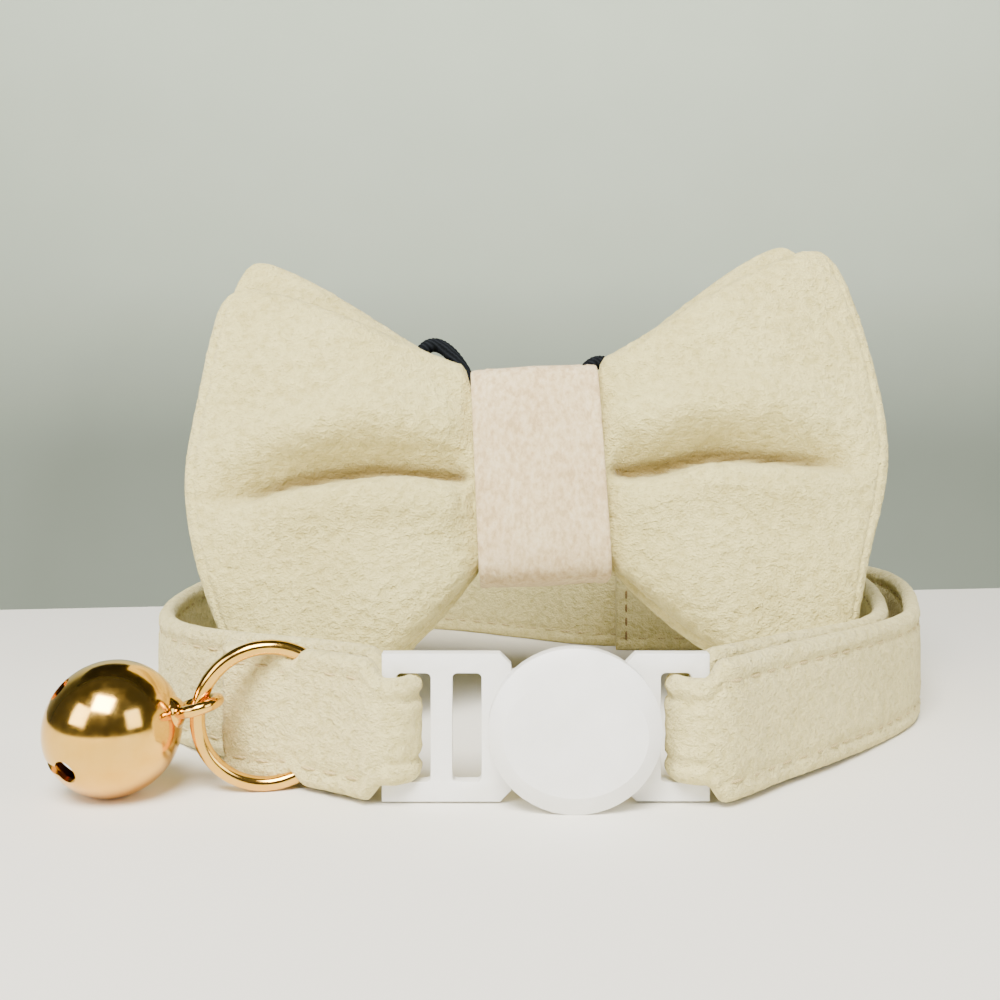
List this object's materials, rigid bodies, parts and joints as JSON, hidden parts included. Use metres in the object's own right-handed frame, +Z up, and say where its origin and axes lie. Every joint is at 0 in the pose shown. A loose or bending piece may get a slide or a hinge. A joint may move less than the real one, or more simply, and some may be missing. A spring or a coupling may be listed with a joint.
{
  "type": "pet bow tie collar",
  "caption": "Velvet pet collar loop with a breakaway buckle, a ring with a round bell, and a stuffed-look bow tie standing inside the loop.",
  "frame": {"origin": "middle of the footprint, on the ground the collar stands on", "axes": "+Z up, +X to the right when the buckle's round face is towards the viewer, -Y towards the viewer"},
  "size_m": [0.107, 0.098, 0.0616],
  "materials": {
    "velvet": "short-pile cream velvet",
    "suede": "brushed suede, pinkish cream",
    "plastic": "satin moulded white plastic",
    "gold": "polished rose-gold plating",
    "elastic": "black elastic cord"
  },
  "bodies": {
    "root": {"collar_strap": "velvet", "buckle_socket": "plastic", "buckle_plug": "plastic", "bell_ring": "gold", "bell": "gold", "bow_front": "velvet", "bow_back": "velvet", "bow_knot": "suede", "elastic_loop_left": "elastic", "elastic_loop_right": "elastic"}
  },
  "joints": []
}
